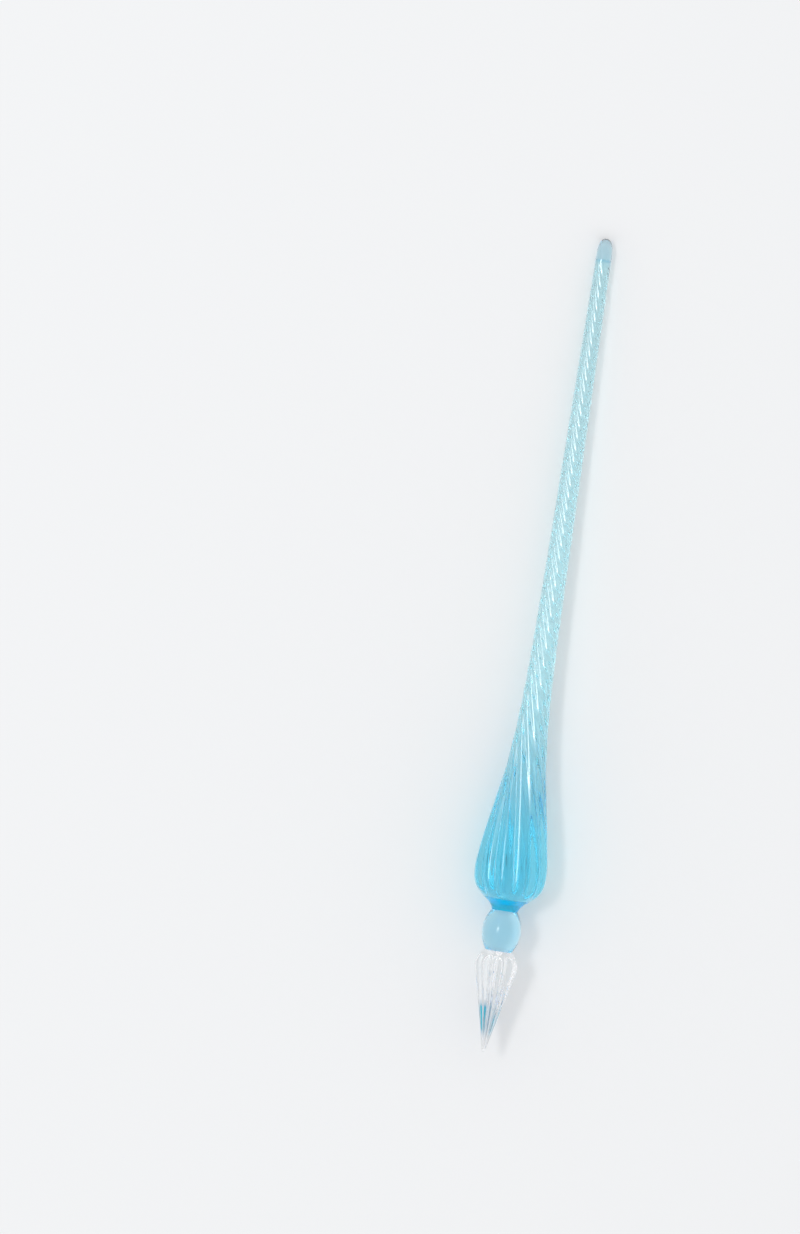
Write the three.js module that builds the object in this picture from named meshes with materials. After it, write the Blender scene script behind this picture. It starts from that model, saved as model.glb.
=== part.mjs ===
// A handmade glass dip pen, lying as it rests on a table: on two ribs of its grip bulb and on the
// drop at its far end. Five pieces of solid glass are melted end to end: a clear fluted nib, a pale
// knop, a deep blue neck collar, the fluted handle (grip bulb and twisted stem in one), and an end drop.
// Millimetres, +X from the writing tip to the far end, +Z up, origin under the middle of the pen.

import * as THREE from 'three';

// ---------------------------------------------------------------- driving dimensions

const nibLength = 21;
const nibBack = 3.5;             // the rounded back, from the widest place to the knop
const nibDiameter = 8.9;         // over the crests of the flutes
const nibTipDiameter = 0.75;
const nibTaper = 1.08;           // 1 is a straight cone, more is a hollow one
const nibFlutes = 12;
const nibFluteDepth = 0.75;      // at the widest place
const nibFluteStop = 0.5;        // how far before the knop the flutes end
const nibFluteRise = 1.6;        // length over which their arched ends come up
const nibTurn = 8;               // degrees that the flutes wind from end to end

const beadLength = 8.3;
const beadDiameter = 8.1;
const nibJointDiameter = 5.6;    // where nib and knop are melted together
const neckJointDiameter = 5.4;   // where knop and collar are melted together

const collarLength = 2.4;
const collarFlare = 9.6;         // diameter of the face that the handle is melted to

const shoulderLength = 6.3;      // from the collar to the widest place of the bulb
const bulbDiameter = 15.1;       // over the crests of the ribs
const bulbReach = 19;            // how far the bulb's swelling runs into the stem
const bulbFalloff = 1.56;        // 1 is a long horn, 2 is a round bell
const drawnDiameter = 6.02;      // of the stem's straight taper, carried forward to the bulb
const stemLength = 127.3;        // from the widest place of the bulb to the end drop
const stemEndDiameter = 3.25;

const ribs = 12;
const bulbRibDepth = 0.8;
const stemRibDepth = 0.16;
const stemDiameter = 4.4;        // where the twist reaches its full rate
const stemTwist = 12.2;          // degrees a millimetre, left-handed
const twistSoftness = 2.2;       // thicker glass twists less: rate falls with diameter to this power
const ribStart = 2.4;            // length over which the ribs rise out of the collar
const ribEnd = 2.6;              // length over which they melt away before the end drop

const dropLength = 4.7;
const dropDiameter = 3.3;

const seam = 0.02;               // clearance left between two melted faces

// ---------------------------------------------------------------- fineness of the solids

const handleSegments = 72;       // six to a rib
const nibSegments = 48;          // four to a flute
const plainSegments = 32;
const ringGap = 2;               // longest step between two rings of the handle
const ringTurn = 24;             // degrees of twist that one step may hold

// ---------------------------------------------------------------- glass

const glass = (color) => new THREE.MeshStandardMaterial({ color, roughness: 0.05, metalness: 0 });

const clearGlass = glass(0xdfe3e4);
const paleBlueGlass = glass(0x95cce1);
const deepBlueGlass = glass(0x18a0d5);
const blueGlass = glass(0x65ceec);
const paleEndGlass = glass(0xb5cbd3);

// ---------------------------------------------------------------- shapes

const smooth = (share) => THREE.MathUtils.smoothstep(share, 0, 1);

// How deep the surface lies at an angle from a crest, as a share of the groove: the crests are
// broad and round and the grooves are narrow, with a bottom that is only just rounded.
function grooveShare(angleInFlutes) {
  const bottom = 0.15;
  const height = Math.hypot(Math.cos(Math.PI * angleInFlutes), bottom);
  const top = Math.hypot(1, bottom);
  return (top - height) / (top - bottom);
}

// A turned body whose rings are pressed into flutes and wound about the axis. Each ring is
// { station, radius, depth, turn } in order along the axis, with turn in radians.
function flutedBody(rings, flutes, segments) {
  const last = rings[rings.length - 1];
  const profile = rings.map((ring) => new THREE.Vector2(ring.radius, ring.station));
  profile.unshift(new THREE.Vector2(0, rings[0].station));
  profile.push(new THREE.Vector2(0, last.station));
  const geometry = new THREE.LatheGeometry(profile, segments);

  const position = geometry.getAttribute('position');
  for (let i = 0; i <= segments; i += 1) {
    const around = (2 * Math.PI * i) / segments;
    const share = grooveShare((i * flutes) / segments + 0.5);
    rings.forEach((ring, j) => {
      const radius = ring.radius - ring.depth * share;
      const angle = around + ring.turn;
      const vertex = i * profile.length + j + 1;
      position.setXYZ(vertex, radius * Math.sin(angle), ring.station, radius * Math.cos(angle));
    });
  }

  // Split each four-sided patch along its other diagonal, which is the short one once it is wound.
  const index = geometry.getIndex();
  for (let k = 0; k + 5 < index.count; k += 6) {
    const [a, b, d, c] = [0, 1, 2, 3].map((step) => index.getX(k + step));
    [a, b, c, a, c, d].forEach((vertex, step) => index.setX(k + step, vertex));
  }
  return geometry;
}

// A plain turned body from a curve of (radius, station) points, closed by a flat face at each end.
function plainBody(curve, steps) {
  const profile = curve.getPoints(steps);
  profile.unshift(new THREE.Vector2(0, profile[0].y));
  profile.push(new THREE.Vector2(0, profile[profile.length - 1].y));
  return new THREE.LatheGeometry(profile, plainSegments);
}

// The nib: a round writing point, a cone that is a little hollow, and an elliptical back.
function nibRings() {
  const tipRadius = nibTipDiameter / 2;
  const fullRadius = nibDiameter / 2;
  const widest = nibLength - nibBack;
  const backLength = nibBack - seam;
  const backReach = backLength / Math.sqrt(1 - (nibJointDiameter / nibDiameter) ** 2);
  const tipSteps = 3;
  const coneSteps = 13;
  const backSteps = 10;
  const rings = [];
  for (let i = 1; i < tipSteps; i += 1) {
    const angle = (i / tipSteps) * (Math.PI / 2);
    rings.push({ station: tipRadius * (1 - Math.cos(angle)), radius: tipRadius * Math.sin(angle) });
  }
  for (let i = 0; i < coneSteps; i += 1) {
    const share = i / coneSteps;
    const station = tipRadius + share * (widest - tipRadius);
    rings.push({ station, radius: tipRadius + (fullRadius - tipRadius) * share ** nibTaper });
  }
  for (let i = 0; i <= backSteps; i += 1) {
    const back = backLength * (i / backSteps);
    rings.push({ station: widest + back, radius: fullRadius * Math.sqrt(1 - (back / backReach) ** 2) });
  }
  return rings.map((ring) => {
    const fromBack = (nibLength - nibFluteStop - ring.station) / nibFluteRise;
    const fromTip = ring.station / tipRadius - 1;
    const depth = nibFluteDepth * (ring.radius / fullRadius) * smooth(fromBack) * smooth(fromTip);
    const turn = THREE.MathUtils.degToRad(nibTurn) * (1 - ring.station / nibLength);
    return { ...ring, depth, turn };
  });
}

// The stem's plain taper, carried forward to the widest place of the bulb.
function taperDiameter(behindWidest) {
  return drawnDiameter + (stemEndDiameter - drawnDiameter) * (behindWidest / stemLength);
}

// Crest radius of the handle: an arc of shoulder before the widest place, then the bulb swelling
// that dies away into the taper.
function handleRadius(behindWidest) {
  const taper = taperDiameter(behindWidest);
  const swelling = Math.exp(-((behindWidest / bulbReach) ** bulbFalloff));
  return (taper + (bulbDiameter - drawnDiameter) * swelling) / 2;
}

// Degrees a millimetre: thin soft glass winds fully, the thick bulb hardly at all.
function windRate(radius) {
  return stemTwist * Math.min(1, (stemDiameter / 2 / radius) ** twistSoftness);
}

function handleRings() {
  const bulbRadius = bulbDiameter / 2;
  const shoulderSteps = 8;
  const shoulder = new THREE.CubicBezierCurve(
    new THREE.Vector2(collarFlare / 2, 0),
    new THREE.Vector2(THREE.MathUtils.lerp(collarFlare / 2, bulbRadius, 0.72), 0.25 * shoulderLength),
    new THREE.Vector2(bulbRadius, 0.44 * shoulderLength),
    new THREE.Vector2(bulbRadius, shoulderLength),
  );
  const rings = shoulder.getPoints(shoulderSteps).map((point) => ({
    station: point.y,
    radius: point.x,
    turn: windRate(bulbRadius) * (shoulderLength - point.y),
  }));

  const end = shoulderLength + stemLength - seam;
  let { station, radius, turn } = rings[shoulderSteps];
  while (station < end) {
    const rate = windRate(radius);
    let step = Math.min(ringGap, ringTurn / rate);
    if (end - station < 1.5 * step) {
      step = end - station;
    }
    station += step;
    radius = handleRadius(station - shoulderLength);
    turn -= step * (rate + windRate(radius)) / 2;
    rings.push({ station, radius, turn });
  }

  const slimRadius = stemDiameter / 2;
  return rings.map((ring) => {
    const girth = (ring.radius - slimRadius) / (bulbRadius - slimRadius);
    const full = THREE.MathUtils.lerp(stemRibDepth, bulbRibDepth, girth);
    const depth = full * smooth(ring.station / ribStart) * smooth((end - ring.station) / ribEnd);
    return { ...ring, depth, turn: THREE.MathUtils.degToRad(ring.turn) };
  });
}

// The knop bulges between its two joints.
function beadCurve() {
  const front = nibJointDiameter / 2;
  const back = neckJointDiameter / 2;
  const middle = beadDiameter - (front + back) / 2;
  return new THREE.QuadraticBezierCurve(
    new THREE.Vector2(front, 0),
    new THREE.Vector2(middle, beadLength / 2),
    new THREE.Vector2(back, beadLength - seam),
  );
}

// The collar flares like the bell of a horn, from the knop out to the bulb.
function collarCurve() {
  return new THREE.QuadraticBezierCurve(
    new THREE.Vector2(neckJointDiameter / 2, 0),
    new THREE.Vector2(neckJointDiameter / 2 + 0.3, 0.55 * collarLength),
    new THREE.Vector2(collarFlare / 2, collarLength - seam),
  );
}

// The end drop swells a little past the stem and closes in a round end.
function dropCurve() {
  return new THREE.CubicBezierCurve(
    new THREE.Vector2(stemEndDiameter / 2, 0),
    new THREE.Vector2(dropDiameter / 2, 0.45 * dropLength),
    new THREE.Vector2(dropDiameter / 2, dropLength),
    new THREE.Vector2(0, dropLength),
  );
}

function dropBody() {
  const profile = dropCurve().getPoints(12);
  profile.unshift(new THREE.Vector2(0, 0));
  return new THREE.LatheGeometry(profile, plainSegments);
}

// ---------------------------------------------------------------- the pieces along the axis

const axis = new THREE.Group();
let station = 0;

function addPiece(name, geometry, material, length) {
  const mesh = new THREE.Mesh(geometry, material);
  mesh.name = name;
  mesh.position.y = station;
  axis.add(mesh);
  station += length;
}

addPiece('nib', flutedBody(nibRings(), nibFlutes, nibSegments), clearGlass, nibLength);
addPiece('nib_bead', plainBody(beadCurve(), 10), paleBlueGlass, beadLength);
addPiece('neck_collar', plainBody(collarCurve(), 5), deepBlueGlass, collarLength);
const handleLength = shoulderLength + stemLength;
addPiece('fluted_handle', flutedBody(handleRings(), ribs, handleSegments), blueGlass, handleLength);
addPiece('end_drop', dropBody(), paleEndGlass, dropLength);

// ---------------------------------------------------------------- how the pen lies

// The turned bodies stand along Y, so they are laid down along X.
axis.rotation.z = -Math.PI / 2;

// Walk along the underside, from foot to foot of its lower hull, and keep the longest stride:
// the pen bridges it, with one foot under the bulb and the other under the end drop.
function restTilt(group) {
  group.updateMatrixWorld(true);
  const points = [];
  for (const mesh of group.children) {
    const position = mesh.geometry.getAttribute('position');
    for (let i = 0; i < position.count; i += 1) {
      points.push(new THREE.Vector3().fromBufferAttribute(position, i).applyMatrix4(mesh.matrixWorld));
    }
  }
  const slope = (from, to) => (to.z - from.z) / (to.x - from.x);
  let foot = points.reduce((low, point) => (point.z < low.z ? point : low));
  let stride = { length: 0, tilt: 0 };
  for (;;) {
    const ahead = points.filter((point) => point.x > foot.x + seam);
    if (ahead.length === 0) {
      return stride.tilt;
    }
    const here = foot;
    const next = ahead.reduce((best, point) => (slope(here, point) < slope(here, best) ? point : best));
    if (next.x - here.x > stride.length) {
      stride = { length: next.x - here.x, tilt: Math.atan(slope(here, next)) };
    }
    foot = next;
  }
}

const pen = new THREE.Group();
pen.name = 'glass_dip_pen';
pen.add(axis);
pen.rotation.y = restTilt(axis);

const box = new THREE.Box3().setFromObject(pen, true);
pen.position.set(-(box.min.x + box.max.x) / 2, -(box.min.y + box.max.y) / 2, -box.min.z);

export default pen;
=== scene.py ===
# %% [markdown]
# # A handmade glass dip pen
# The pen is solid glass from end to end: a clear fluted nib, a pale knop, a deep blue collar, and a
# ribbed handle whose grip bulb was drawn out and twisted into a long stem with a round end.
# The measured frame comes first, because every fine piece is made in the same place as a plain one.

# %% Load the frame
import math

import bpy
import numpy as np
from mathutils import Matrix, Vector


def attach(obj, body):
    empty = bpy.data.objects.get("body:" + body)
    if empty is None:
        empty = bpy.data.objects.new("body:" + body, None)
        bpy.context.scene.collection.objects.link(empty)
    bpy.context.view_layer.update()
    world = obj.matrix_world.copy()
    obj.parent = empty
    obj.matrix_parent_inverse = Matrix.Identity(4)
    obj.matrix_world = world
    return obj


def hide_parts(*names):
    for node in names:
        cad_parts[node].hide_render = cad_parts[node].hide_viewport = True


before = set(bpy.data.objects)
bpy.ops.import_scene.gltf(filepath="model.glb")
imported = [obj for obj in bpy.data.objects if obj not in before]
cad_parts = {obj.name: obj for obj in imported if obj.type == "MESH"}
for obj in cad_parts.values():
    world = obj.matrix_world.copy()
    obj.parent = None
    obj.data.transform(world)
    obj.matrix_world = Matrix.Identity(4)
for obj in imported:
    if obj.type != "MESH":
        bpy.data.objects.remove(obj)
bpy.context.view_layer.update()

MM = 0.001

# %% [markdown]
# ## The pen's own axis
# The pen lies on its bulb and on its end drop, so its axis slopes a little. The slope isn't typed in:
# knop and end drop are plain turned bodies, so the middle of each is on the axis, and the writing point
# is where the nib begins. Everything below is turned along X and then laid down on that line.

# %% Find the axis
def vertices_of(node):
    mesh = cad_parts[node].data
    flat = np.empty(3 * len(mesh.vertices))
    mesh.vertices.foreach_get("co", flat)
    return flat.reshape(-1, 3)


knop_middle = vertices_of("nib_bead").mean(axis=0)
drop_middle = vertices_of("end_drop").mean(axis=0)
along = Vector(drop_middle - knop_middle).normalized()
tip = Vector(knop_middle) + along * ((vertices_of("nib") - knop_middle) @ np.array(along)).min()
sideways = Vector((0.0, 1.0, 0.0))
upwards = along.cross(sideways)
lie_down = Matrix.Translation(tip) @ Matrix((along, sideways, upwards)).transposed().to_4x4()
print("axis slopes by", round(math.degrees(math.asin(-along.z)), 2), "degrees")


# %% Read stations and radii off the frame
def stations_and_radii(node):
    """How far along the axis, and how far from it, each vertex of a node is."""
    offset = vertices_of(node) - np.array(tip)
    station = offset @ np.array(along)
    return station, np.linalg.norm(offset - np.outer(station, np.array(along)), axis=1)


def span(node):
    station, _ = stations_and_radii(node)
    return station.min(), station.max()


def girth(node):
    return stations_and_radii(node)[1].max()


def face_radius(node, where):
    """The radius of a node's flat face at its start (0) or its end (1)."""
    station, radius = stations_and_radii(node)
    close = np.abs(station - span(node)[where]) < 0.01 * MM
    return radius[close].max()


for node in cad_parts:
    print(node, "from", [round(end / MM, 2) for end in span(node)], "radius", round(girth(node) / MM, 2))

# %% [markdown]
# ## A turned blank
# Hot glass is rolled round before anything is pressed into it, so each piece starts as a plain turned
# blank: rings of points along X. Each ring also carries how deep its grooves will be and how far the
# glass is wound there, as two attributes that the next step reads. A third, the painted glow, says where
# along the nib its grooves get painted blue light, a stand-in for light led down from the blue glass. The
# flat faces where two pieces are melted together get a material slot of their own.

# %% Turn a blank
# painted light: where along the nib its grooves get a painted blue glow, standing in for light led down from
# the blue glass
PAINTED_GLOW_START, PAINTED_GLOW_FADE_IN = 2.8 * MM, 1.8 * MM
PAINTED_GLOW_END, PAINTED_GLOW_FADE_OUT = 10.9 * MM, 1.6 * MM


def turned_blank(name, rings, around, melted=(False, False)):
    """rings are (station, radius, groove depth, turn). A melted end is a flat face, any other is a pole."""
    rings = np.array(rings)
    angle = np.linspace(0, 2 * math.pi, around, endpoint=False)
    station, radius, depth, turn = (np.repeat(column, around) for column in rings.T)
    angle = np.tile(angle, len(rings))
    points = np.column_stack((station, -radius * np.sin(angle), radius * np.cos(angle)))
    ends = [(rings[0][0], 0.0, 0.0), (rings[-1][0], 0.0, 0.0)]
    points = np.vstack((points, ends))

    j, i = np.meshgrid(np.arange(len(rings) - 1), np.arange(around), indexing="ij")
    here, there = j * around + i, j * around + (i + 1) % around
    quads = np.stack((here, there, there + around, here + around), axis=-1).reshape(-1, 4)
    step = np.arange(around)
    last = (len(rings) - 1) * around
    first_pole, last_pole = len(points) - 2, len(points) - 1
    front = [(first_pole, int((k + 1) % around), int(k)) for k in step]
    back = [(last_pole, int(last + k), int(last + (k + 1) % around)) for k in step]
    mesh = bpy.data.meshes.new(name)
    mesh.from_pydata(points.tolist(), [], quads.tolist() + front + back)

    # painted light: the nib's grooves near the tip get a painted blue glow, a stand-in for light led down
    # from the blue glass
    trace = np.zeros(len(station))
    if name == "nib":
        begins = np.clip((station - PAINTED_GLOW_START) / PAINTED_GLOW_FADE_IN, 0, 1)
        trace = begins * np.clip((PAINTED_GLOW_END - station) / PAINTED_GLOW_FADE_OUT, 0, 1)
    for title, values in (("depth", depth), ("turn", turn), ("trace", trace)):
        attribute = mesh.attributes.new(title, "FLOAT", "POINT")
        attribute.data.foreach_set("value", np.append(values, (0.0, 0.0)))
    uv = np.zeros((len(points), 2))
    uv[:-2] = np.column_stack((angle / (2 * math.pi), station))
    loop_vertex = np.empty(len(mesh.loops), dtype=int)
    mesh.loops.foreach_get("vertex_index", loop_vertex)
    loop_uv = uv[loop_vertex]
    seam = loop_vertex[: 4 * len(quads)].reshape(-1, 4)
    wraps = (seam % around).max(axis=1) - (seam % around).min(axis=1) > 1
    first_column = wraps[:, None] & (seam % around == 0)
    loop_uv[: 4 * len(quads), 0] += first_column.ravel()
    mesh.uv_layers.new(name="drawn").data.foreach_set("uv", loop_uv.ravel())
    is_melted = np.zeros(len(mesh.polygons), dtype=bool)
    is_melted[len(quads):len(quads) + around] = melted[0]
    is_melted[len(quads) + around:] = melted[1]
    mesh.attributes.new("melted", "BOOLEAN", "FACE").data.foreach_set("value", is_melted)
    return mesh

# %% [markdown]
# ## Pressing and winding
# A fluted piece follows a rule: the soft blank is pushed into a ribbed mould, which presses grooves into
# it, and then one end is turned while the other is held, which winds the grooves into a twist. Geometry
# Nodes do just that to every point of a blank. The crests are broad and round and the grooves narrow,
# so the pressing follows the height of a cosine with its foot rounded off.

# %% Build the tree that presses and winds
def socket(tree, name, kind, default=None):
    made = tree.interface.new_socket(name, in_out="INPUT", socket_type=kind)
    if default is not None:
        made.default_value = default
    return made


def wire(tree, kind, inputs, output=0, **settings):
    """Adds a node, sets its settings, feeds its inputs with values or sockets, and returns one output."""
    node = tree.nodes.new(kind)
    for key, value in settings.items():
        setattr(node, key, value)
    for key, value in inputs.items():
        if isinstance(value, bpy.types.NodeSocket):
            tree.links.new(value, node.inputs[key])
        else:
            node.inputs[key].default_value = value
    return node.outputs[output]


def calculate(tree, operation, first, second=0.0, third=0.0):
    return wire(tree, "ShaderNodeMath", {0: first, 1: second, 2: third}, operation=operation)


def named(tree, name, kind="FLOAT"):
    return wire(tree, "GeometryNodeInputNamedAttribute", {"Name": name}, data_type=kind)


def press_and_wind_tree():
    tree = bpy.data.node_groups.new("Press and Wind", "GeometryNodeTree")
    socket(tree, "Geometry", "NodeSocketGeometry")
    socket(tree, "Flutes", "NodeSocketInt", 12)
    socket(tree, "Groove Roundness", "NodeSocketFloat", 0.15)
    socket(tree, "Glass", "NodeSocketMaterial")
    socket(tree, "Melted Glass", "NodeSocketMaterial")
    tree.interface.new_socket("Geometry", in_out="OUTPUT", socket_type="NodeSocketGeometry")
    given = tree.nodes.new("NodeGroupInput").outputs

    place = tree.nodes.new("ShaderNodeSeparateXYZ")
    tree.links.new(tree.nodes.new("GeometryNodeInputPosition").outputs[0], place.inputs[0])
    x, y, z = place.outputs
    minus_y = calculate(tree, "MULTIPLY", y, -1.0)
    angle = calculate(tree, "ARCTAN2", minus_y, z)
    radius = calculate(tree, "SQRT", calculate(tree, "MULTIPLY_ADD", y, y, calculate(tree, "MULTIPLY", z, z)))

    half_turns = calculate(tree, "MULTIPLY", angle, calculate(tree, "MULTIPLY", given["Flutes"], 0.5))
    wave = calculate(tree, "COSINE", calculate(tree, "ADD", half_turns, math.pi / 2))
    foot = given["Groove Roundness"]
    foot_squared = calculate(tree, "MULTIPLY", foot, foot)
    height = calculate(tree, "SQRT", calculate(tree, "MULTIPLY_ADD", wave, wave, foot_squared))
    top = calculate(tree, "SQRT", calculate(tree, "ADD", 1.0, foot_squared))
    groove = calculate(
        tree, "DIVIDE", calculate(tree, "SUBTRACT", top, height), calculate(tree, "SUBTRACT", top, foot)
    )
    pressed = calculate(
        tree, "SUBTRACT", radius, calculate(tree, "MULTIPLY", groove, named(tree, "depth"))
    )
    wound = calculate(tree, "ADD", angle, named(tree, "turn"))
    minus_pressed = calculate(tree, "MULTIPLY", pressed, -1.0)
    new_y = calculate(tree, "MULTIPLY", minus_pressed, calculate(tree, "SINE", wound))
    new_z = calculate(tree, "MULTIPLY", pressed, calculate(tree, "COSINE", wound))
    moved = wire(tree, "ShaderNodeCombineXYZ", {0: x, 1: new_y, 2: new_z})

    shaped = wire(tree, "GeometryNodeSetPosition", {"Geometry": given["Geometry"], "Position": moved})
    marked = wire(
        tree,
        "GeometryNodeStoreNamedAttribute",
        {"Geometry": shaped, "Name": "groove", "Value": groove},
        data_type="FLOAT",
    )
    realized = wire(tree, "GeometryNodeRealizeInstances", {"Geometry": marked})
    glazed = wire(tree, "GeometryNodeSetMaterial", {"Geometry": realized, "Material": given["Glass"]})
    is_melted = named(tree, "melted", "BOOLEAN")
    joined = wire(
        tree,
        "GeometryNodeSetMaterial",
        {"Geometry": glazed, "Selection": is_melted, "Material": given["Melted Glass"]},
    )
    tree.links.new(joined, tree.nodes.new("NodeGroupOutput").inputs[0])
    return tree


press_and_wind = press_and_wind_tree()
print("press and wind tree has", len(press_and_wind.nodes), "nodes")


# %% Run a tree on a blank and keep the plain mesh
def feed(modifier, **values):
    """Sets a modifier's inputs by the identifiers of the tree's sockets."""
    for item in modifier.node_group.interface.items_tree:
        key = item.name.replace(" ", "_")
        if item.item_type == "SOCKET" and item.in_out == "INPUT" and key in values:
            modifier[item.identifier] = values[key]


def finished_piece(name, blank, slot, **inputs):
    """Runs the tree on the blank, lays the result on the pen's axis, and hands it over to the frame."""
    raw = bpy.data.objects.new(name + "_blank", blank)
    bpy.context.collection.objects.link(raw)
    modifier = raw.modifiers.new("Press and Wind", "NODES")
    modifier.node_group = press_and_wind
    feed(modifier, **inputs)
    evaluated = raw.evaluated_get(bpy.context.evaluated_depsgraph_get())
    mesh = bpy.data.meshes.new_from_object(evaluated)
    bpy.data.objects.remove(raw)

    mesh.transform(lie_down)
    mesh.polygons.foreach_set("use_smooth", [True] * len(mesh.polygons))
    slots = np.empty(len(mesh.polygons), dtype=int)
    mesh.polygons.foreach_get("material_index", slots)
    edges = {}
    for polygon in mesh.polygons:
        for key in polygon.edge_keys:
            edges.setdefault(key, set()).add(slots[polygon.index])
    rims = [len(edges[tuple(sorted(edge.vertices))]) > 1 for edge in mesh.edges]
    mesh.attributes.new("sharp_edge", "BOOLEAN", "EDGE").data.foreach_set("value", rims)
    piece = bpy.data.objects.new(name, mesh)
    mesh.name = name
    bpy.context.collection.objects.link(piece)
    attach(piece, "root")
    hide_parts(name.removesuffix("_glass"))
    print(name, len(mesh.polygons), "faces,", sum(rims), "rim edges")
    return piece


# %% [markdown]
# ## Glass
# Clear glass is a smooth surface that bends light and a body that lets it through. Coloured glass is the
# same surface with a body that swallows the other colours a little with every millimetre, which is why
# the thick bulb is deep blue and the thin stem of the same glass is pale. So the glass's colour is a volume
# absorption and not paint, and the surface gets the slight waviness of fire-finished glass and the fine
# lines that drawing leaves. A soft clear coat carries the lamps' highlights, because a small lamp seen in
# sharp glass leaves grain. On ribbed glass the coat fades and the waviness grows with the depth
# of the grooves, and on plain glass both are even. Near the tip, the nib's grooves get a painted blue
# glow, which stands in for light led down from the blue glass and is stronger toward the lamp side.

# %% Make glass
def swallow(material, tint):
    """Gives a material's body its absorption: tint is how much of red, green and blue a metre swallows."""
    tree = material.node_tree
    density = max(tint)
    absorption = tree.nodes.new("ShaderNodeVolumeAbsorption")
    absorption.inputs["Density"].default_value = density
    absorption.inputs["Color"].default_value = (*(1 - part / density for part in tint), 1.0)
    output = next(node for node in tree.nodes if node.type == "OUTPUT_MATERIAL")
    tree.links.new(absorption.outputs[0], output.inputs["Volume"])


GLASS_IOR = 1.5
SHEEN_ROUGHNESS = 0.22
SHEEN_LOSS = 0.6
DEEPEST_GROOVE = 0.8 * MM
BUMP_HEIGHT = 0.1 * MM
RIPPLE_LENGTH = 5.0 * MM
RIPPLE_STRETCH = (0.35, 1.0, 1.0)
RIPPLE_STRENGTH = 0.05
DRAW_LINES_AROUND = 70.0
DRAW_LINES_ALONG = 60.0
DRAW_LINE_STRENGTH = 0.12
# painted light: colour, strength and place of the blue glow painted into the nib's grooves, stronger toward
# the lamp side
PAINTED_GLOW_COLOUR = (0.0, 0.28, 0.48, 1.0)
PAINTED_GLOW_FAINT_SIDE, PAINTED_GLOW_STRONG_SIDE = -1.2 * MM, 0.9 * MM
PAINTED_GLOW_FAINTEST = 0.3
PAINTED_GLOW_GROOVE_EDGE, PAINTED_GLOW_GROOVE_FOOT = 0.2, 0.7


def glass(name, tint, sheen=0.9, fluted=True, trace=False):
    """Fire-finished glass. Sheen is its soft coat, fluted glass has grooves, trace paints blue light into
    them.
    """
    material = bpy.data.materials.new(name)
    material.use_nodes = True
    tree = material.node_tree
    surface = tree.nodes["Principled BSDF"]
    surface.inputs["Base Color"].default_value = (1.0, 1.0, 1.0, 1.0)
    surface.inputs["Transmission Weight"].default_value = 1.0
    surface.inputs["Roughness"].default_value = 0.0
    surface.inputs["IOR"].default_value = GLASS_IOR
    surface.inputs["Coat IOR"].default_value = GLASS_IOR
    surface.inputs["Coat Roughness"].default_value = SHEEN_ROUGHNESS

    surface.inputs["Coat Weight"].default_value = sheen

    place = wire(tree, "ShaderNodeTexCoord", {}, output="Object")
    stretched = wire(tree, "ShaderNodeMapping", {"Vector": place, "Scale": RIPPLE_STRETCH})
    if fluted:
        depth = wire(tree, "ShaderNodeAttribute", {}, output="Fac", attribute_name="depth")
        share = calculate(tree, "POWER", calculate(tree, "DIVIDE", depth, DEEPEST_GROOVE), 2.0)
        weight = calculate(tree, "MULTIPLY_ADD", share, -SHEEN_LOSS, sheen)
        tree.links.new(weight, surface.inputs["Coat Weight"])
    ripples = wire(
        tree,
        "ShaderNodeTexNoise",
        {"Vector": stretched, "Scale": 1 / RIPPLE_LENGTH, "Detail": 2.0},
        output="Fac",
    )
    if fluted:
        ripples = calculate(tree, "MULTIPLY", ripples, share)
    rippled = wire(
        tree, "ShaderNodeBump", {"Height": ripples, "Strength": RIPPLE_STRENGTH, "Distance": BUMP_HEIGHT}
    )
    around_and_along = wire(tree, "ShaderNodeUVMap", {}, uv_map="drawn")
    drawn_scale = (DRAW_LINES_AROUND, DRAW_LINES_ALONG, 1.0)
    drawn = wire(tree, "ShaderNodeMapping", {"Vector": around_and_along, "Scale": drawn_scale})
    lines = wire(tree, "ShaderNodeTexNoise", {"Vector": drawn, "Scale": 1.0, "Detail": 2.0}, output="Fac")
    if fluted:
        lines = calculate(tree, "MULTIPLY", lines, share)
    bumped = wire(
        tree,
        "ShaderNodeBump",
        {"Height": lines, "Strength": DRAW_LINE_STRENGTH, "Distance": BUMP_HEIGHT, "Normal": rippled},
    )
    tree.links.new(bumped, surface.inputs["Normal"])
    # painted light: blue painted into the nib's grooves near the tip stands in for light led down from the
    # blue glass, stronger toward the lamp side
    if trace:
        groove = wire(tree, "ShaderNodeAttribute", {}, output="Fac", attribute_name="groove")
        painted_glow_band = wire(tree, "ShaderNodeAttribute", {}, output="Fac", attribute_name="trace")
        side = wire(tree, "ShaderNodeSeparateXYZ", {0: place}, output="Y")
        painted_glow_across = {"From Min": PAINTED_GLOW_FAINT_SIDE, "From Max": PAINTED_GLOW_STRONG_SIDE, "To Min": PAINTED_GLOW_FAINTEST}
        painted_glow_side = wire(tree, "ShaderNodeMapRange", {"Value": side, **painted_glow_across})
        into = {"From Min": PAINTED_GLOW_GROOVE_EDGE, "From Max": PAINTED_GLOW_GROOVE_FOOT}
        inside = wire(tree, "ShaderNodeMapRange", {"Value": groove, **into})
        painted_glow_amount = calculate(tree, "MULTIPLY", calculate(tree, "MULTIPLY", inside, painted_glow_band), painted_glow_side)
        painted_glow_tint = wire(
            tree,
            "ShaderNodeMix",
            {"Factor": painted_glow_amount, 6: (1.0, 1.0, 1.0, 1.0), 7: PAINTED_GLOW_COLOUR},
            output=2,
            data_type="RGBA",
        )
        tree.links.new(painted_glow_tint, surface.inputs["Base Color"])
    swallow(material, tint)
    return material


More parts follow.
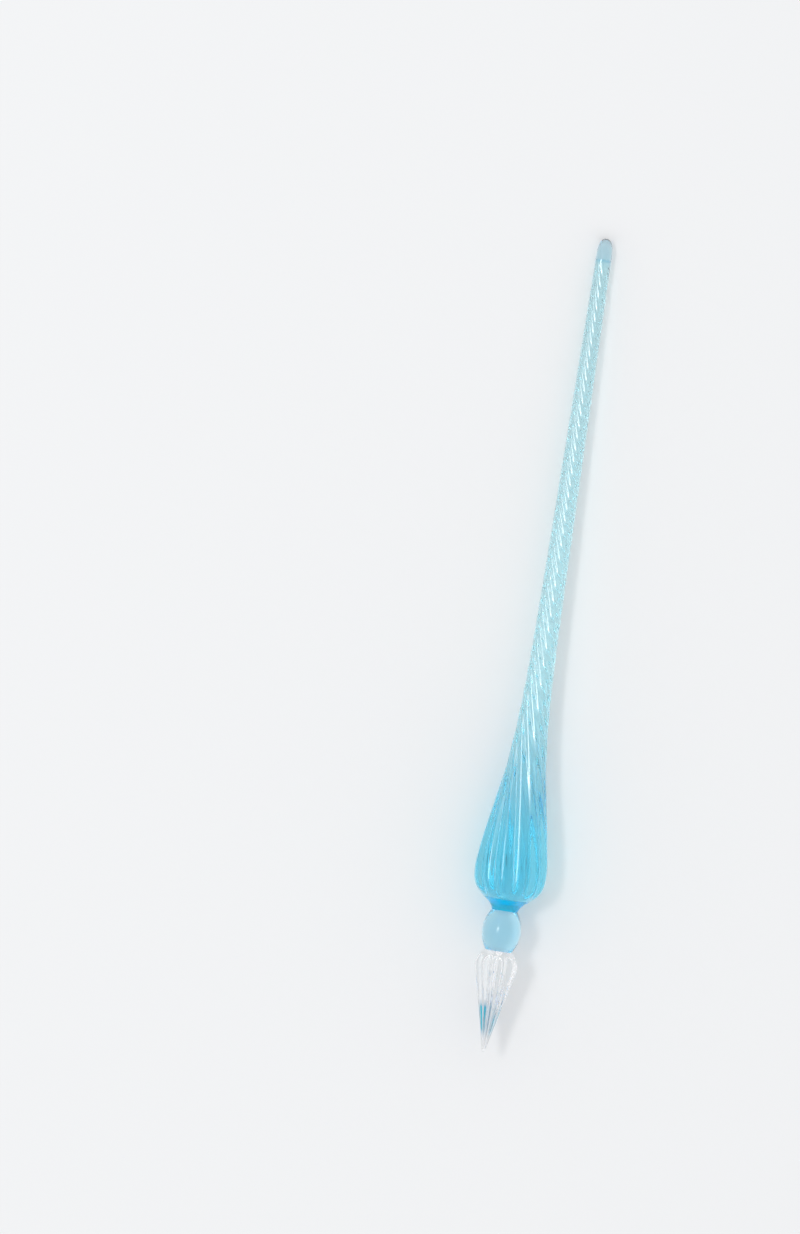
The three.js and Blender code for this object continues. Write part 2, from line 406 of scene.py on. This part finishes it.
def melted_face(name, tint):
    """The inside of a fused joint: nothing bends or reflects there, but the glass goes on."""
    material = bpy.data.materials.new(name)
    material.use_nodes = True
    surface = material.node_tree.nodes["Principled BSDF"]
    surface.inputs["Alpha"].default_value = 0.0
    surface.inputs["IOR"].default_value = 1.0
    swallow(material, tint)
    return material


# how much red, green and blue a metre of each glass swallows
CLEAR = (1.5, 0.8, 0.6)
BLUE = (88.0, 11.0, 0.0)
PALE_BLUE = (86.0, 18.0, 0.5)
DEEP_BLUE = (150.0, 8.0, 0.2)
MILKY_BLUE = (0.0, 0.66, 0.94, 1.0)
COLLAR_CLEARNESS = 0.45

# the clear nib glass carries the painted blue glow in its grooves
clear_glass = glass("clear nib glass", CLEAR, sheen=0.6, trace=True)
clear_melted = melted_face("melted clear glass", CLEAR)
blue_glass = glass("drawn blue glass", BLUE)
blue_melted = melted_face("melted blue glass", BLUE)
pale_blue_glass = glass("pale blue knop glass", PALE_BLUE, fluted=False)
pale_blue_melted = melted_face("melted pale blue glass", PALE_BLUE)
deep_blue_glass = glass("deep blue collar glass", DEEP_BLUE, sheen=0.0, fluted=False)
collar_surface = deep_blue_glass.node_tree.nodes["Principled BSDF"]
collar_surface.inputs["Base Color"].default_value = MILKY_BLUE
collar_surface.inputs["Transmission Weight"].default_value = COLLAR_CLEARNESS
deep_blue_melted = melted_face("melted deep blue glass", DEEP_BLUE)
print(len(bpy.data.materials), "materials")

# %% [markdown]
# ## The nib
# The nib is a bud of clear glass, pressed into twelve deep flutes that hold the ink and lead it down to a
# round writing point. Behind its widest place it closes in an elliptical back, and there the flutes end
# in round arches.

# %% Turn and flute the nib
def smooth(share):
    share = np.clip(share, 0, 1)
    return share * share * (3 - 2 * share)


NIB_WIDEST = 17.5 * MM
NIB_TAPER = 1.08
POINT_RADIUS = 0.375 * MM
NIB_FLUTES = 12
NIB_FLUTE_DEPTH = 0.75 * MM
NIB_TURN = math.radians(8)
ARCH_MARGIN, ARCH_LENGTH = 0.5 * MM, 1.6 * MM


def nib_rings():
    start, end = span("nib")
    full, joint = girth("nib"), face_radius("nib", 1)
    point = POINT_RADIUS
    back_length = end - NIB_WIDEST
    back_reach = back_length / math.sqrt(1 - (joint / full) ** 2)
    rings = []
    for angle in np.linspace(0, math.pi / 2, 10)[1:-1]:
        rings.append((point * (1 - math.cos(angle)), point * math.sin(angle)))
    for share in np.linspace(0, 1, 90, endpoint=False):
        rings.append((point + share * (NIB_WIDEST - point), point + (full - point) * share**NIB_TAPER))
    for back in np.linspace(0, back_length, 40):
        rings.append((NIB_WIDEST + back, full * math.sqrt(1 - (back / back_reach) ** 2)))
    fluted_rings = []
    for station, radius in rings:
        arch = smooth((end - station - ARCH_MARGIN) / ARCH_LENGTH)
        depth = NIB_FLUTE_DEPTH * (radius / full) * arch * smooth(station / point - 1)
        fluted_rings.append((station, radius, depth, NIB_TURN * (1 - station / end)))
    return fluted_rings


nib = finished_piece(
    "nib_glass",
    turned_blank("nib", nib_rings(), 200, melted=(False, True)),
    "clear_glass",
    Flutes=NIB_FLUTES,
    Glass=clear_glass,
    Melted_Glass=clear_melted,
)

# %% [markdown]
# ## The knop
# A plain barrel-shaped knop sits between nib and neck. It is only rolled, so it has no flutes, and its
# sides are one even bulge between the two melted joints.

# %% Turn the knop
def bulging_rings(node, steps):
    start, end = span(node)
    front, back, full = face_radius(node, 0), face_radius(node, 1), girth(node)
    control = 2 * full - (front + back) / 2
    rings = []
    for t in np.linspace(0, 1, steps):
        radius = (1 - t) ** 2 * front + 2 * (1 - t) * t * control + t * t * back
        rings.append((start + t * (end - start), radius, 0.0, 0.0))
    return rings


finished_piece(
    "nib_bead_glass",
    turned_blank("nib_bead", bulging_rings("nib_bead", 60), 160, melted=(True, True)),
    "pale_blue_glass",
    Flutes=0,
    Glass=pale_blue_glass,
    Melted_Glass=pale_blue_melted,
)

# %% [markdown]
# ## The collar
# A ring of much stronger colour joins knop and bulb. It flares like the bell of a horn. It is too short
# for clear glass to look so blue, so its glass is also a little milky.

# %% Turn the collar
FLARE_LIFT = 0.3 * MM
FLARE_BEND = 0.55


def collar_rings(steps):
    start, end = span("neck_collar")
    front, back = face_radius("neck_collar", 0), face_radius("neck_collar", 1)
    middle = front + FLARE_LIFT
    rings = []
    for t in np.linspace(0, 1, steps):
        radius = (1 - t) ** 2 * front + 2 * (1 - t) * t * middle + t * t * back
        station = 2 * (1 - t) * t * FLARE_BEND + t * t
        rings.append((start + station * (end - start), radius, 0.0, 0.0))
    return rings


finished_piece(
    "neck_collar_glass",
    turned_blank("neck_collar", collar_rings(40), 160, melted=(True, True)),
    "deep_blue_glass",
    Flutes=0,
    Glass=deep_blue_glass,
    Melted_Glass=deep_blue_melted,
)

# %% [markdown]
# ## The handle
# Bulb and stem are one gather of glass with twelve ribs. It was pulled out while it was turned, and thin
# hot glass gives way to a twist far more easily than thick glass, so the ribs run almost straight over
# the bulb and wind up quickly in the stem. The rate of twist here falls with the thickness in the same
# way.

# %% Turn, press and wind the handle
RIBS = 12
SHOULDER = 6.3 * MM
SHOULDER_FULLNESS = 0.72
SHOULDER_BENDS = (0.25, 0.44)
BULB_REACH = 19 * MM
BULB_FALLOFF = 1.56
DRAWN_RADIUS = 3.01 * MM
BULB_RIB_DEPTH = 0.8 * MM
STEM_RIB_DEPTH = 0.16 * MM
SLIM_RADIUS = 2.2 * MM
STEM_TWIST = math.radians(12.2) / MM
TWIST_SOFTNESS = 2.2
RIB_START = 2.4 * MM
RIB_END = 2.6 * MM
LONGEST_STEP = 0.4 * MM
LARGEST_STEP_TURN = math.radians(4.6)


def wind_rate(radius):
    return STEM_TWIST * min(1, SLIM_RADIUS / radius) ** TWIST_SOFTNESS


def handle_rings():
    start, end = span("fluted_handle")
    full = girth("fluted_handle")
    neck, slim_end = face_radius("fluted_handle", 0), face_radius("fluted_handle", 1)
    widest = start + SHOULDER
    rings = []
    arc = [neck, neck + SHOULDER_FULLNESS * (full - neck), full, full]
    first_bend, second_bend = SHOULDER_BENDS
    for t in np.linspace(0, 1, 36):
        weights = ((1 - t) ** 3, 3 * (1 - t) ** 2 * t, 3 * (1 - t) * t * t, t**3)
        radius = sum(weight * part for weight, part in zip(weights, arc))
        station = start + SHOULDER * (weights[1] * first_bend + weights[2] * second_bend + weights[3])
        rings.append([station, radius, 0.0, wind_rate(full) * (widest - station)])

    station, radius, _, turn = rings[-1]
    while station < end - 1e-9:
        rate = wind_rate(radius)
        step = min(LONGEST_STEP, LARGEST_STEP_TURN / rate)
        if end - station < 1.5 * step:
            step = end - station
        station += step
        behind = (station - widest) / (end - widest)
        taper = DRAWN_RADIUS + (slim_end - DRAWN_RADIUS) * behind
        fullness = math.exp(-(((station - widest) / BULB_REACH) ** BULB_FALLOFF))
        radius = taper + (full - DRAWN_RADIUS) * fullness
        turn -= step * (rate + wind_rate(radius)) / 2
        rings.append([station, radius, 0.0, turn])

    for ring in rings:
        stoutness = (ring[1] - SLIM_RADIUS) / (full - SLIM_RADIUS)
        depth = STEM_RIB_DEPTH + (BULB_RIB_DEPTH - STEM_RIB_DEPTH) * stoutness
        ring[2] = depth * smooth((ring[0] - start) / RIB_START) * smooth((end - ring[0]) / RIB_END)
    return rings


handle = finished_piece(
    "fluted_handle_glass",
    turned_blank("fluted_handle", handle_rings(), 144, melted=(True, True)),
    "blue_glass",
    Flutes=RIBS,
    Glass=blue_glass,
    Melted_Glass=blue_melted,
)

# %% [markdown]
# ## The end drop
# The stem ends in a plain drop, which the flame pulled round.

# %% Turn the end drop
DROP_RADIUS = 1.65 * MM
DROP_BEND = 0.45


def drop_rings(steps):
    start, end = span("end_drop")
    joint = face_radius("end_drop", 0)
    rings = []
    for t in np.linspace(0, 1, steps)[:-1]:
        weights = ((1 - t) ** 3, 3 * (1 - t) ** 2 * t, 3 * (1 - t) * t * t, t**3)
        radius = weights[0] * joint + (weights[1] + weights[2]) * DROP_RADIUS
        station = start + (end - start) * (weights[1] * DROP_BEND + weights[2] + weights[3])
        rings.append((station, radius, 0.0, 0.0))
    return rings


finished_piece(
    "end_drop_glass",
    turned_blank("end_drop", drop_rings(60), 96, melted=(True, False)),
    "pale_end_glass",
    Flutes=0,
    Glass=pale_blue_glass,
    Melted_Glass=pale_blue_melted,
)

# %% [markdown]
# ## Floor, light and camera
# The pen lies on a plain pale floor under an even pale sky. One soft lamp at the upper left casts the
# shadow. A long narrow strip lamp beside it, which only the two ribbed pieces catch, draws the dashes of
# light along the ribs. Rays that leave sharp glass pass both lamps by, so only the soft coat shows them.

# %% Floor
HALF = 3.0
floor_mesh = bpy.data.meshes.new("floor")
corners = [(-HALF, -HALF, 0), (HALF, -HALF, 0), (HALF, HALF, 0), (-HALF, HALF, 0)]
floor_mesh.from_pydata(corners, [], [(0, 1, 2, 3)])
floor = bpy.data.objects.new("floor", floor_mesh)
bpy.context.collection.objects.link(floor)
floor_paint = bpy.data.materials.new("pale floor")
floor_paint.use_nodes = True
floor_surface = floor_paint.node_tree.nodes["Principled BSDF"]
floor_surface.inputs["Base Color"].default_value = (0.82, 0.825, 0.83, 1.0)
floor_surface.inputs["Roughness"].default_value = 0.9
floor_surface.inputs["Specular IOR Level"].default_value = 0.0
floor_mesh.materials.append(floor_paint)
print("floor is", 2 * HALF, "m square")

# %% Lights
SKY_COLOUR = (0.985, 0.99, 1.0, 1.0)
SKY_STRENGTH = 0.94
world = bpy.data.worlds.new("studio")
bpy.context.scene.world = world
world.use_nodes = True
sky = world.node_tree.nodes["Background"]
sky.inputs["Color"].default_value = SKY_COLOUR
sky.inputs["Strength"].default_value = SKY_STRENGTH
world.cycles.sampling_method = "NONE"


def soft_light(name, direction, distance, width, length, radiance):
    data = bpy.data.lights.new(name, "AREA")
    data.shape = "RECTANGLE"
    data.size, data.size_y = width, length
    data.energy = radiance * width * length * math.pi
    light = bpy.data.objects.new(name, data)
    bpy.context.collection.objects.link(light)
    towards = Vector(direction).normalized()
    light.location = towards * distance
    light.rotation_euler = towards.to_track_quat("Z", "X").to_euler()
    return light


ribbed = bpy.data.collections.new("ribbed glass")
for piece in (nib, handle):
    ribbed.objects.link(piece)
key = soft_light("key", (0.1, 0.43, 0.9), distance=1.8, width=0.25, length=0.4, radiance=18.0)
strip = soft_light("strip", (0.0, 0.60, 0.80), distance=1.5, width=0.2, length=1.1, radiance=54.0)
strip.visible_diffuse = False
strip.visible_transmission = False
strip.light_linking.receiver_collection = ribbed
for light in (key, strip):
    light.data.cycles.use_multiple_importance_sampling = False
    print(light.name, "gives", round(light.data.energy, 1), "W")

# %% Camera
PEN_SLANT = math.radians(8.77)
LENS = 85.0
SENSOR = 36.0
VIEW_HEIGHT = 254.1 * MM
PEN_HEIGHT = 7.0 * MM
PEN_RIGHT = 30.0 * MM
PEN_BELOW = 5.35 * MM

view_right = Vector((math.sin(PEN_SLANT), -math.cos(PEN_SLANT), 0.0))
view_up = Vector((math.cos(PEN_SLANT), math.sin(PEN_SLANT), 0.0))
camera_data = bpy.data.cameras.new("camera")
camera_data.lens = LENS
camera_data.sensor_width = SENSOR
camera_data.clip_start = 0.01
camera = bpy.data.objects.new("camera", camera_data)
bpy.context.collection.objects.link(camera)
camera.location = view_up * PEN_BELOW - view_right * PEN_RIGHT
camera.location.z = PEN_HEIGHT + VIEW_HEIGHT * LENS / SENSOR
camera.rotation_mode = "QUATERNION"
camera.rotation_quaternion = Matrix((view_right, view_up, Vector((0, 0, 1)))).transposed().to_quaternion()
bpy.context.scene.camera = camera
print("camera is", round(camera.location.z / MM), "mm above the floor")

# %% How far light is followed through the glass
scene = bpy.context.scene
scene.view_settings.view_transform = "Standard"
scene.cycles.max_bounces = 24
scene.cycles.transmission_bounces = 24
scene.cycles.transparent_max_bounces = 24
scene.cycles.glossy_bounces = 8
scene.cycles.caustics_refractive = True
scene.cycles.caustics_reflective = False
scene.cycles.blur_glossy = 0.15
scene.cycles.sample_clamp_indirect = 4.0
print("light is followed through", scene.cycles.max_bounces, "surfaces")
